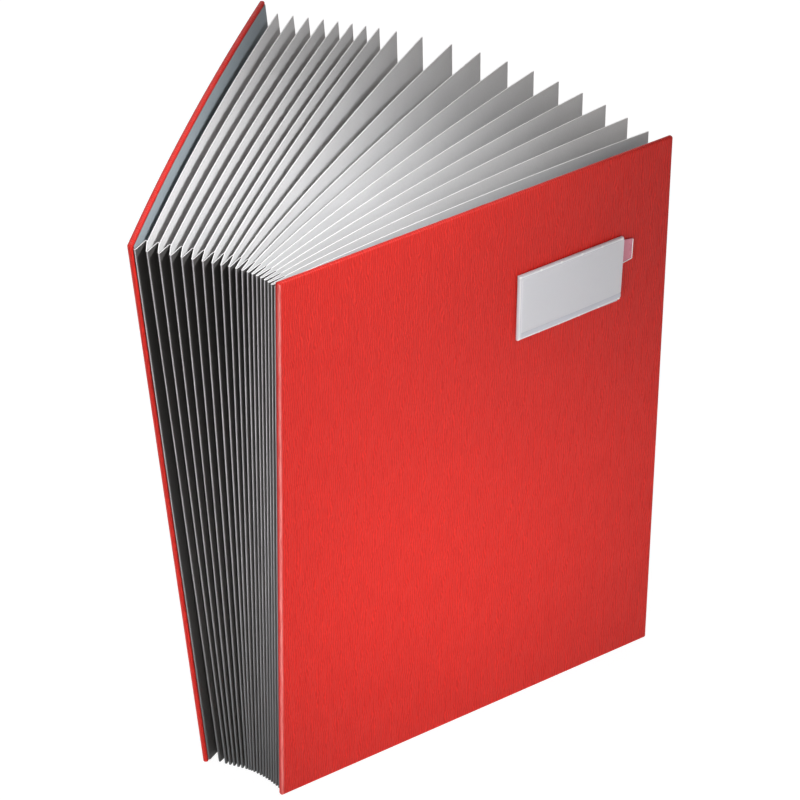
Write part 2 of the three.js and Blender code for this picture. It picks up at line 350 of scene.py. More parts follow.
@dataclass(frozen=True)
class SpineCard(Finish):
    """Black spine card, cracked through to its pale core along the outer folds, where a painted
    highlight brightens the crests and painted shade darkens them towards the foot.
    """

    face: Colour = (0.30, 0.29, 0.285)
    scuffed: Colour = (0.30, 0.30, 0.30)
    # Pale crest colour: the cracked pale core and a painted highlight.
    core: Colour = (0.88, 0.87, 0.89)
    # Darker crest colour at the foot: painted shade.
    shaded_foot_core: Colour = (0.36, 0.38, 0.40)
    height: float = 0.34
    relief: float = 0.03 * MM

    def paint(self, graph: ShaderGraph) -> None:
        """Paints the card and its cracked crests, with a painted highlight on the crests and
        painted shade on them towards the foot, on object coordinates.

        Args:
            graph: The material under construction.
        """
        fibres = graph.noise(graph.place((1500.0, 1500.0, 220.0)), 4.0)
        cloud = graph.noise(graph.place((60.0, 60.0, 12.0)))
        breaks = graph.noise(graph.place((900.0, 900.0, 45.0)), 4.0)
        face = graph.mix(graph.levels(cloud, 0.35, 0.75, 0.0, 0.55), self.face, self.scuffed)
        split = graph.node("ShaderNodeSeparateXYZ",
                           {0: graph.place((1.0, 1.0, 1 / self.height))})
        # The crest colour fades from pale at the top to darker at the foot: painted shade.
        core = graph.mix(graph.levels(split.outputs["Z"], 0.02, 0.75), self.shaded_foot_core,
                         self.core)
        # Crests take the pale colour: cracked core and a painted highlight.
        wear_and_highlight = graph.math("MULTIPLY", graph.attribute("crest"),
                            graph.levels(breaks, 0.25, 0.5, 0.7, 1.0))
        graph.dress(Base_Color=graph.mix(wear_and_highlight, face, core),
                    Roughness=graph.levels(fibres, 0.3, 0.7, 0.5, 0.66))
        graph.bump(fibres, self.relief)


@dataclass(frozen=True)
class FrostedPlastic(Finish):
    """Clear pliable plastic with a frosted skin, milky where it is pressed or welded."""

    milk: float
    tint: Colour = (0.975, 0.975, 0.99)
    roughness: float = 0.30
    roughness_swing: float = 0.14
    relief: float = 0.02 * MM

    def paint(self, graph: ShaderGraph) -> None:
        """Paints the frosted skin, on object coordinates.

        Args:
            graph: The material under construction.
        """
        skin = graph.noise(graph.place((90.0, 90.0, 90.0)))
        rough = graph.levels(skin, 0.3, 0.7, self.roughness,
                             self.roughness + self.roughness_swing)
        graph.dress(Base_Color=linear(self.tint), IOR=1.45, Roughness=rough,
                    Transmission_Weight=1.0 - self.milk)
        graph.bump(skin, self.relief)


@dataclass(frozen=True)
class Finishes:
    """Every finish of the book, built once and shared by its pieces."""

    leatherette: Material
    leaf_face: Material
    cut_edge: Material
    spine_face: Material
    lining: Material
    board: Material
    plastic: Material
    clear: Material
    rim: Material
    fold: Material
    weld: Material
    label: Material

    @classmethod
    def build(cls) -> "Finishes":
        """Builds the materials of all pieces.

        Returns:
            The finishes of the book.
        """
        plastics = {
            "plastic": ("frosted_plastic", FrostedPlastic(0.55)),
            # The lug's finish is opaque; its pink tint is a painted show-through of the red
            # cover under clear plastic.
            "clear": ("clear_plastic", FrostedPlastic(1.0, (0.86, 0.54, 0.61), 0.22)),
            "rim": ("pressed_plastic", FrostedPlastic(0.75, (0.90, 0.90, 0.925), 0.34)),
            "fold": ("folded_plastic", FrostedPlastic(0.70, (0.87, 0.88, 0.91), 0.34)),
            "weld": ("welded_plastic", FrostedPlastic(1.0, (1.0, 1.0, 1.0), 0.36)),
        }
        cards = {
            "leaf_face": ("leaf_face", (0.855, 0.85, 0.85), (0.81, 0.805, 0.805)),
            "lining": ("lining_paper", (0.60, 0.635, 0.655), (0.55, 0.58, 0.60)),
            "board": ("grey_board", (0.58, 0.56, 0.53), (0.48, 0.46, 0.43)),
            "label": ("label_card", (0.86, 0.87, 0.90), (0.83, 0.84, 0.87)),
        }
        return cls(
            leatherette=Leatherette().build("red_leatherette"),
            cut_edge=CutEdge().build("cut_edge"),
            spine_face=SpineCard().build("spine_card"),
            **{key: finish.build(name) for key, (name, finish) in plastics.items()},
            **{key: FacedCard(face, shade).build(name)
               for key, (name, face, shade) in cards.items()},
        )


def dress_node(name: str, material: Material) -> None:
    """Gives a node of the frame its material.

    Args:
        name: Name of the node.
        material: The finish that replaces all its slots.
    """
    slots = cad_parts[name].data.materials
    slots.clear()
    slots.append(material)
    LOG.info("%s dressed with %s", name, material.name)


def report(piece: Piece) -> None:
    """Logs a finished piece."""
    LOG.info("%s built, %d faces", piece.name, len(piece.data.polygons))


def merged_points(name: str) -> np.ndarray:
    """Reads the separate corners of a node's triangles as single points.

    Args:
        name: Name of the node.

    Returns:
        The points, one row each, in metres.
    """
    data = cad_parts[name].data
    flat = np.empty(len(data.vertices) * 3)
    data.vertices.foreach_get("co", flat)
    return np.unique(flat.reshape(-1, 3).round(7), axis=0)


def linked(name: str, data: bpy.types.ID) -> Piece:
    """Puts an object in the scene, at the origin.

    Args:
        name: Name of the object.
        data: Its mesh, lamp or camera.

    Returns:
        The new object.
    """
    made = bpy.data.objects.new(name, data)
    bpy.context.scene.collection.objects.link(made)
    return made


def mesh_object(name: str, points: Iterable[Sequence[float]], faces: Iterable[Face] = (),
                materials: Iterable[Material] = (), face_slots: Sequence[int] | None = None,
                edges: Sequence[tuple[int, int]] = ()) -> Piece:
    """Makes a mesh object at the origin.

    Args:
        name: Name of the piece.
        points: Vertices in metres, in the frame.
        faces: Vertex numbers of each face, counter-clockwise from outside.
        materials: The piece's material slots.
        face_slots: Slot number of each face, or None for the first slot.
        edges: Vertex numbers of edges that stand without a face.

    Returns:
        The new object, linked to the scene.
    """
    data = bpy.data.meshes.new(name)
    data.from_pydata([tuple(p) for p in points], edges, [tuple(f) for f in faces])
    for material in materials:
        data.materials.append(material)
    if face_slots is not None:
        data.polygons.foreach_set("material_index", face_slots)
    data.update()
    return linked(name, data)


def smooth(piece: Piece, angle: float = 30.0) -> None:
    """Shades a piece smooth, apart from its sharp edges.

    Args:
        piece: The piece.
        angle: Angle in degrees from which an edge stays sharp.
    """
    data = piece.data
    data.polygons.foreach_set("use_smooth", [True] * len(data.polygons))
    data.set_sharp_from_angle(angle=math.radians(angle))


def settle(piece: Piece, name: str) -> Piece:
    """Turns a piece with modifiers into a plain mesh object.

    Args:
        piece: The piece with its modifiers. It is removed.
        name: Name of the plain piece.

    Returns:
        The plain piece.
    """
    graph = bpy.context.evaluated_depsgraph_get()
    data = bpy.data.meshes.new_from_object(piece.evaluated_get(graph), depsgraph=graph)
    bpy.data.objects.remove(piece)
    data.name = name
    return linked(name, data)


def spread(start: float, end: float, count: int) -> list[float]:
    """Divides the way from a start to an end evenly into a count of steps."""
    return [start + (end - start) * k / count for k in range(count + 1)]


def graded(length: float, near: Sequence[float], step: float) -> list[float]:
    """Divides a length, finely at both ends and evenly between.

    Args:
        length: The length to divide.
        near: Distances from each end that get a division.
        step: Longest even division.

    Returns:
        The divisions from 0 to length.
    """
    start, end = near[-1], length - near[-1]
    even = spread(start, end, max(1, math.ceil((end - start) / step)))
    return [0.0, *near[:-1], *even, *(length - n for n in reversed(near[:-1])), length]


def grid_faces(columns: int, rows: int) -> list[Face]:
    """Joins a grid of points, row after row, into faces that wind along and then up."""
    corners = [j * columns + i for j in range(rows - 1) for i in range(columns - 1)]
    return [(a, a + 1, a + columns + 1, a + columns) for a in corners]


def slab_faces(columns: int, rows: int) -> tuple[list[Face], list[Face]]:
    """Joins two grids of points, one over the other, into a closed slab.

    Args:
        columns: Points along each grid.
        rows: Points up each grid.

    Returns:
        The faces of both grids in turn, and those of the rim round them, facing outwards
        when the second grid lies to the right of the first.
    """
    back = columns * rows
    pairs = [(quad[::-1], tuple(back + v for v in quad)) for quad in grid_faces(columns, rows)]
    rim = [*range(columns), *range(2 * columns - 1, back, columns),
           *range(back - 2, back - columns - 1, -1), *range(back - 2 * columns, 0, -columns)]
    edge = [(a, b, back + b, back + a) for a, b in zip(rim, rim[1:] + rim[:1])]
    return [face for pair in pairs for face in pair], edge


@dataclass(frozen=True)
class BowedSheet:
    """Where a bowed sheet of the frame stands, measured from its solid."""

    foot: Vector
    along: Vector
    left: Vector
    up: Vector
    length: float
    height: float
    thickness: float
    sagitta: float

    @classmethod
    def of(cls, name: str, core: str | None = None) -> "BowedSheet":
        """Measures a node.

        Args:
            name: Name of a node that is an upright, evenly bowed slab.
            core: Name of a plain slab inside it that shows the bow, if it is not plain.

        Returns:
            The sheet: foot is its root end's middle at the foot, along its chord, left its
            swelling side, up its standing direction.
        """
        points, plain = merged_points(name), merged_points(core or name)
        middle = (plain[:, 2].min() + plain[:, 2].max()) / 2
        foot_ring, top_ring = plain[plain[:, 2] < middle], plain[plain[:, 2] >= middle]
        rise = top_ring.mean(axis=0) - foot_ring.mean(axis=0)
        up = rise / np.linalg.norm(rise)
        centred = foot_ring - foot_ring.mean(axis=0)
        along = np.linalg.svd(centred, full_matrices=False)[2][0]
        along = along - up * (along @ up)
        along /= np.linalg.norm(along) * (1 if along[0] > 0 else -1)
        left = np.cross(up, along)
        runs = points @ along
        start, length = runs.min(), np.ptp(runs)
        share = (plain @ along - start) / length
        terms = np.stack([np.ones_like(share), share, 4 * share * (1 - share)], axis=1)
        sagitta = max(float(np.linalg.lstsq(terms, plain @ left, rcond=None)[0][2]), 0.0)
        share = (runs - start) / length
        offsets = points @ left - sagitta * 4 * share * (1 - share)
        heights = points @ up
        foot = (along * start + left * (offsets.min() + offsets.max()) / 2
                + up * heights.min())
        return cls(Vector(foot), Vector(along), Vector(left), Vector(up), float(length),
                   float(np.ptp(heights)), float(np.ptp(offsets)), sagitta)

    def point(self, run: float, left: float, rise: float) -> Vector:
        """Finds a point of the sheet's space.

        Args:
            run: Distance from the root end along the sheet.
            left: Distance from its middle surface, positive on the swelling side.
            rise: Distance from its foot.

        Returns:
            The point in the frame.
        """
        share = run / self.length
        swell = 4 * self.sagitta * share * (1 - share)
        slope = 4 * self.sagitta * (1 - 2 * share) / self.length
        lean = left / math.hypot(1.0, slope)
        return (self.foot + self.along * (run - slope * lean)
                + self.left * (swell + lean) + self.up * rise)


@dataclass
class WrappedCover:
    """One cover: board wrapped in leatherette that turns in over the lined inside."""

    prefix: str
    body: Body
    outer_is_left: bool
    finishes: Finishes
    arris: float = 1.1 * MM
    corner_steps: int = 5
    arris_steps: int = 5
    skin_step: tuple[float, float] = (10 * MM, 12 * MM)
    lining_step: tuple[float, float] = (12 * MM, 30 * MM)
    # Pale arris marks, strongest beside the spine edge: wear and a painted highlight.
    wear_highlight_reach: float = 0.8 * MM
    spine_wear_highlight: float = 0.75
    edge_wear_highlight: float = 0.04
    lining_margin: float = 1.6 * MM
    lining_seat: float = 0.3 * MM
    sheet: BowedSheet = field(init=False)

    def __post_init__(self) -> None:
        """Measures the cover's solid."""
        self.sheet = BowedSheet.of(f"{self.prefix}_cover_wrap", f"{self.prefix}_cover_board")
        LOG.info("%s cover measured: %s", self.prefix, self.sheet)

    def place(self, run: float, depth: float, rise: float) -> Vector:
        """Finds a point by its depth under the outer face.

        Args:
            run: Distance from the spine edge.
            depth: Distance inwards from the outer face.
            rise: Distance from the foot.

        Returns:
            The point in the frame.
        """
        side = 1 if self.outer_is_left else -1
        return self.sheet.point(run, side * (self.sheet.thickness / 2 - depth), rise)

    def border(self, columns: int, rows: int) -> list[tuple[int, int, float, float]]:
        """Walks round the flat part of a face.

        Args:
            columns: Points along the face.
            rows: Points up the face.

        Returns:
            For each step the grid's column and row and the direction outwards. The steps at
            a corner share one grid point and turn with the corner.
        """
        right, top = columns - 1, rows - 1
        sides = [[(i, 0) for i in range(columns)], [(right, j) for j in range(rows)],
                 [(right - i, top) for i in range(columns)],
                 [(0, top - j) for j in range(rows)]]
        steps: list[tuple[int, int, float, float]] = []
        for number, side in enumerate(sides):
            angle = math.radians(90 * number - 90)
            steps += [(i, j, math.cos(angle), math.sin(angle)) for i, j in side]
            for part in range(1, self.corner_steps):
                turn = angle + math.radians(90) * part / self.corner_steps
                steps.append((*side[-1], math.cos(turn), math.sin(turn)))
        return steps

    def skin(self) -> Piece:
        """Builds the closed leatherette skin with rounded arrises and its UV map.

        Returns:
            The skin, dressed, with its arris attribute.
        """
        sheet, arris = self.sheet, self.arris
        near = [0.5 * MM, 1.0 * MM, 2.0 * MM, 4.0 * MM, 8.0 * MM]
        runs, rises = ([arris + v for v in graded(size - 2 * arris, near, step)]
                       for size, step in zip((sheet.length, sheet.height), self.skin_step))
        columns, rows = len(runs), len(rises)
        flat = [(run, rise) for rise in rises for run in runs]
        points = [self.place(run, depth, rise) for depth in (0.0, sheet.thickness)
                  for run, rise in flat]
        surface = flat * 2
        # Pale marks on the outer face and arrises: wear and a painted highlight.
        wear_highlight_marks = [self.wear_highlight_at(run) for run, _ in flat] + [0.0] * len(flat)
        back = len(flat)
        face = grid_faces(columns, rows)
        faces = face + [tuple(back + v for v in reversed(f)) for f in face]
        steps = self.border(columns, rows)
        rings = [[j * columns + i for i, j, _, _ in steps]]
        for reach, depth, wear_highlight_share in self.arris_profile():
            rings.append(list(range(len(points), len(points) + len(steps))))
            for i, j, out_run, out_rise in steps:
                run, rise = runs[i] + reach * out_run, rises[j] + reach * out_rise
                points.append(self.place(run, depth, rise))
                surface.append((run + depth * out_run, rise + depth * out_rise))
                wear_highlight_marks.append(wear_highlight_share * (self.spine_wear_highlight if out_run < -0.5 else self.edge_wear_highlight))
        rings.append([back + corner for corner in rings[0]])
        for outer, inner in zip(rings, rings[1:]):
            for k in range(len(steps)):
                after = (k + 1) % len(steps)
                quad = (outer[k], inner[k], inner[after], outer[after])
                faces.append(tuple(dict.fromkeys(quad)))
        faces = [self.turned(f) for f in faces if len(f) > 2]
        made = mesh_object(f"{self.prefix}_leatherette", points, faces,
                           [self.finishes.leatherette])
        self.write_maps(made, surface, wear_highlight_marks)
        smooth(made, 40.0)
        return made

    def turned(self, face: Face) -> Face:
        """Turns a face over on the cover whose outer face is on the left."""
        return face[::-1] if self.outer_is_left else face

    def lining(self) -> Piece:
        """Builds the paper lining, glued over the turned-in leatherette.

        Returns:
            The lining, dressed.
        """
        paper = BowedSheet.of(f"{self.prefix}_cover_lining").thickness
        seat, margin = self.sheet.thickness + self.lining_seat, self.lining_margin
        runs, rises = (graded(size - 2 * margin, [1 * MM], step) for size, step
                       in zip((self.sheet.length, self.sheet.height), self.lining_step))
        corners = [self.place(margin + run, depth, margin + rise)
                   for depth in (seat, seat + paper) for rise in rises for run in runs]
        sides, rim = slab_faces(len(runs), len(rises))
        made = mesh_object(f"{self.prefix}_lining", corners,
                           [self.turned(face[::-1]) for face in sides + rim],
                           [self.finishes.lining])
        smooth(made)
        return made

    def wear_highlight_at(self, run: float) -> float:
        """Says how far a point of the outer face is painted pale beside the spine edge, as wear
        and a painted highlight.
        """
        return self.spine_wear_highlight * max(0.0, 1 - (run - self.arris) / self.wear_highlight_reach)

    def arris_profile(self) -> list[tuple[float, float, float]]:
        """Steps round both arrises of the skin.

        Returns:
            For each step its reach outwards, its depth inwards and the share painted pale, as
            wear and a painted highlight.
        """
        angles = [math.radians(90 * k / self.arris_steps)
                  for k in range(1, self.arris_steps + 1)]
        quarter = [(self.arris * math.sin(a), self.arris * (1 - math.cos(a)), math.cos(a))
                   for a in angles]
        thickness = self.sheet.thickness
        return quarter + [(reach, thickness - depth, 0.0)
                          for reach, depth, _ in reversed(quarter)]

    @staticmethod
    def write_maps(piece: Piece, surface: Sequence[tuple[float, float]],
                   wear_highlight_marks: Sequence[float]) -> None:
        """Stores the UV map and the arris attribute on a piece.

        Args:
            piece: The piece that gets them.
            surface: Place of each point on the unrolled surface, in metres.
            wear_highlight_marks: Share of each point that is painted pale, as wear and a painted
                highlight.
        """
        data = piece.data
        data.attributes.new("arris", "FLOAT", "POINT").data.foreach_set("value", wear_highlight_marks)
        layer = data.uv_layers.new(name="surface")
        corners = [surface[loop.vertex_index] for loop in data.loops]
        layer.data.foreach_set("uv", [value for pair in corners for value in pair])

    def build(self) -> None:
        """Builds and dresses the cover."""
        for piece, part, slot in ((self.skin(), "wrap", Slot.LEATHERETTE),
                                  (self.lining(), "lining", Slot.LINING)):
            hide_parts(f"{self.prefix}_cover_{part}")
            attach(piece, self.body.value)
            report(piece)
        dress_node(f"{self.prefix}_cover_board", self.finishes.board)


class NodeForm(NodeGraph):
    """A Geometry Nodes tree under construction, with named inputs."""

    def __init__(self, name: str, inputs: dict[str, str]) -> None:
        """Starts a tree whose first input and only output are geometry.

        Args:
            name: Name of the tree.
            inputs: Socket type of each further input, such as Float or Vector.
        """
        super().__init__(bpy.data.node_groups.new(name, "GeometryNodeTree"))
        sockets = self.tree.interface
        for direction in ("INPUT", "OUTPUT"):
            sockets.new_socket("Geometry", in_out=direction, socket_type="NodeSocketGeometry")
        self.identifiers = {
            key: sockets.new_socket(key, in_out="INPUT",
                                    socket_type=f"NodeSocket{kind}").identifier
            for key, kind in inputs.items()}
        self.entry = self.node("NodeGroupInput").outputs

    def finish(self, geometry: Socket, material: Socket) -> None:
        """Ends the tree in Realize Instances and Set Material.

        Args:
            geometry: The shaped geometry.
            material: Its material.
        """
        realize = self.node("GeometryNodeRealizeInstances", {"Geometry": geometry})
        paint = self.node("GeometryNodeSetMaterial", {
            "Geometry": realize.outputs["Geometry"], "Material": material})
        self.node("NodeGroupOutput", {"Geometry": paint.outputs["Geometry"]})

    def shape(self, blank: Piece, name: str, values: dict[str, object]) -> Piece:
        """Shapes a blank by the tree.

        Args:
            blank: The object that the tree works on. It is removed.
            name: Name of the shaped piece.
            values: Value of each named input.

        Returns:
            The shaped piece as a plain mesh.
        """
        modifier = blank.modifiers.new(self.tree.name, "NODES")
        modifier.node_group = self.tree
        for key, value in values.items():
            modifier[self.identifiers[key]] = value
        return settle(blank, name)


@dataclass
class CardLeaves:
    """The card leaves: bowed sheets with a faint cockle and white cut edges."""

    finishes: Finishes
    cockle: float = 0.16 * MM
    ripples: float = 14.0
    columns: int = 48
    rows: int = 40
    form: NodeForm = field(init=False)

    def __post_init__(self) -> None:
        """Builds the tree that shapes one leaf."""
        self.form = self.leaf_form()

    def leaf_form(self) -> NodeForm:
        """Builds a tree that bows a flat grid into a leaf and stands it in its place.

        Returns:
            The tree with its named inputs.
        """
        numbers = ("Length", "Height", "Sagitta", "Cockle", "Seed")
        form = NodeForm("card_leaf", {**dict.fromkeys(numbers, "Float"), "Foot": "Vector",
                                      "Turn": "Rotation", "Face": "Material"})
        length, height, sagitta, cockle, seed = (form.entry[key] for key in numbers)
        grid = form.node("GeometryNodeMeshGrid", {
            "Size X": length, "Size Y": height, "Vertices X": self.columns,
            "Vertices Y": self.rows})
        where = form.node("GeometryNodeInputPosition").outputs["Position"]
        split = form.node("ShaderNodeSeparateXYZ", {"Vector": where}).outputs
        share = form.math("ADD", form.math("DIVIDE", split["X"], length), 0.5)
        arch = form.math("MULTIPLY", share, form.math("SUBTRACT", 1.0, share))
        swell = form.math("MULTIPLY", form.math("MULTIPLY", arch, 4.0), sagitta)
        ripple = form.node("ShaderNodeTexNoise", {
            "Vector": where, "W": seed, "Scale": self.ripples, "Detail": 1.0},
            noise_dimensions="4D")
        wave = form.math("MULTIPLY", form.math("SUBTRACT", ripple.outputs["Fac"], 0.5),
                         cockle)
        place = form.node("ShaderNodeCombineXYZ", {
            "X": form.math("ADD", split["X"], form.math("MULTIPLY", length, 0.5)),
            "Y": form.math("ADD", swell, form.math("MULTIPLY", wave, share)),
            "Z": form.math("ADD", split["Y"], form.math("MULTIPLY", height, 0.5))})
        bend = form.node("GeometryNodeSetPosition", {
            "Geometry": grid.outputs["Mesh"], "Position": place.outputs["Vector"]})
        stand = form.node("GeometryNodeTransform", {
            "Geometry": bend.outputs["Geometry"], "Translation": form.entry["Foot"],
            "Rotation": form.entry["Turn"]})
        form.finish(stand.outputs["Geometry"], form.entry["Face"])
        return form

    def leaf(self, node: str, number: int) -> Piece:
        """Builds one leaf.

        Args:
            node: Name of the leaf's node.
            number: Number of the leaf, which seeds its cockle.

        Returns:
            The leaf as a closed mesh with its faces grey and its cut edges white.
        """
        sheet = BowedSheet.of(node)
        turn = Matrix((sheet.along, sheet.left, sheet.up)).transposed().to_euler()
        surface = self.form.shape(mesh_object(f"{node}_blank", []), f"{node}_surface", {
            "Length": sheet.length, "Height": sheet.height, "Sagitta": sheet.sagitta,
            "Cockle": self.cockle, "Seed": float(number), "Foot": tuple(sheet.foot),
            "Turn": tuple(turn), "Face": self.finishes.leaf_face,
        })
        surface.data.materials.append(self.finishes.cut_edge)
        wall = surface.modifiers.new("thickness", "SOLIDIFY")
        wall.thickness = sheet.thickness
        wall.offset = 0.0
        wall.material_offset_rim = 1
        made = settle(surface, f"{node}_card")
        smooth(made, 40.0)
        return made

    def build(self) -> None:
        """Builds every leaf of the frame."""
        names = sorted(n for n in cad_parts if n.startswith("leaf_"))
        for number, node in enumerate(names, start=1):
            made = self.leaf(node, number)
            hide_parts(node)
            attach(made, Body.BLOCK.value)
            report(made)


@dataclass
class ConcertinaSpine:
    """The folded spine sheet: black outside, grey inside, white where it is cut."""

    finishes: Finishes
    node: str = "concertina_spine"
    wall: float = 0.4 * MM
    rows: int = 28
    crest_reach: float = 0.55 * MM
    crest_fade: float = 0.80
    waver: float = 0.10 * MM
    waver_turns: float = 9.0
    waver_shift: float = 1.7
    waver_columns: int = 12

    def loops(self) -> list[np.ndarray]:
        """Reads the sheet's edge lines, each from the back cover to the front cover.

        Returns:
            Outer foot, inner foot, outer top and inner top lines.
        """
        work = bmesh.new()
        work.from_mesh(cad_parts[self.node].data)
        bmesh.ops.remove_doubles(work, verts=work.verts, dist=MERGE_DISTANCE)
        heights = [v.co.z for v in work.verts]
        lines: list[np.ndarray] = []
        for level in (min(heights), max(heights)):
            cap = {f for f in work.faces if all(abs(v.co.z - level) < 1e-5 for v in f.verts)}
            rim = [e for e in work.edges if sum(f in cap for f in e.link_faces) == 1]
            lines += self.split_rim(rim)
        work.free()
        return lines

    def split_rim(self, rim: Sequence[bmesh.types.BMEdge]) -> list[np.ndarray]:
        """Splits the rim of a cut edge into its outer and its inner line.

        Args:
            rim: Edges of the closed rim.

        Returns:
            The outer line and the inner line, from the back cover to the front cover.
        """
        ends = sorted(rim, key=lambda e: abs(e.calc_length() - self.wall))[:2]
        others = set(rim) - set(ends)
        lines = []
        for start in ends[0].verts:
            line, here = [tuple(start.co)], start
            while step := [e for e in here.link_edges if e in others]:
                others.discard(step[0])
                here = step[0].other_vert(here)
                line.append(tuple(here.co))
            lines.append(np.array(line if line[0][1] > line[-1][1] else line[::-1]))
        return sorted(lines, key=lambda line: line[:, 0].mean())

    def refined(self, line: np.ndarray) -> tuple[np.ndarray, list[float]]:
        """Adds points beside each fold and marks the crests.

        Args:
            line: One edge line of the sheet.

        Returns:
            The refined line and, for each point, 1 on an outer fold's crest and 0 away.
        """
        leaves = sum(name.startswith("leaf_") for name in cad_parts)
        arcs = np.array_split(line, 2 * leaves + 1)
        points: list[np.ndarray] = []
        crest: list[float] = []
        for fold, arc in enumerate(arcs):
            for k, point in enumerate(arc):
                points.append(point)
                beside = abs(k - (len(arc) - 1) / 2)
                crest.append(max(0.0, 1.0 - self.crest_fade * beside) * (1 - fold % 2))
            if fold + 1 < len(arcs):
                way = arcs[fold + 1][0] - arc[-1]
                near = self.crest_reach / np.linalg.norm(way)
                points += [arc[-1] + way * reach for reach in (near, 0.5, 1 - near)]
                crest += [0.0] * 3
        return np.array(points), crest

    def sheet(self) -> Piece:
        """Builds the sheet between its foot and its top, with a faint waver down its folds.

        Returns:
            The sheet, dressed, with its crest attribute.
        """
        refined = [self.refined(line) for line in self.loops()]
        (outer_foot, inner_foot, outer_top, inner_top), crests = zip(*refined)
        count, rows = len(outer_foot), self.rows + 1
        phases = self.waver_shift * (np.arange(count) // self.waver_columns)
        points: list[np.ndarray] = []
        for low, high in ((outer_foot, outer_top), (inner_foot, inner_top)):
            for share in spread(0.0, 1.0, self.rows):
                drift = (self.waver * math.sin(math.pi * share)
                         * np.sin(self.waver_turns * share + phases))
                points += list(low + (high - low) * share
                               + np.outer(drift, (1.0, 0.5, 0.0)))
        sides, rim = slab_faces(count, rows)
        slots = [0, 1] * (len(sides) // 2) + [2] * len(rim)
        made = mesh_object("spine_sheet", points, sides + rim,
                           [self.finishes.spine_face, self.finishes.leaf_face,
                            self.finishes.cut_edge], slots)
        # The crest marks carry the cracked core and the painted highlight of the outer folds.
        marks = crests[0] * rows + [0.0] * (count * rows)
        made.data.attributes.new("crest", "FLOAT", "POINT").data.foreach_set("value", marks)
        work = bmesh.new()
        work.from_mesh(made.data)
        bmesh.ops.recalc_face_normals(work, faces=work.faces)
        work.to_mesh(made.data)
        work.free()
        smooth(made, 50.0)
        return made

    def build(self) -> None:
        """Builds and dresses the spine sheet."""
        made = self.sheet()
        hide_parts(self.node)
        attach(made, Body.BLOCK.value)
        report(made)


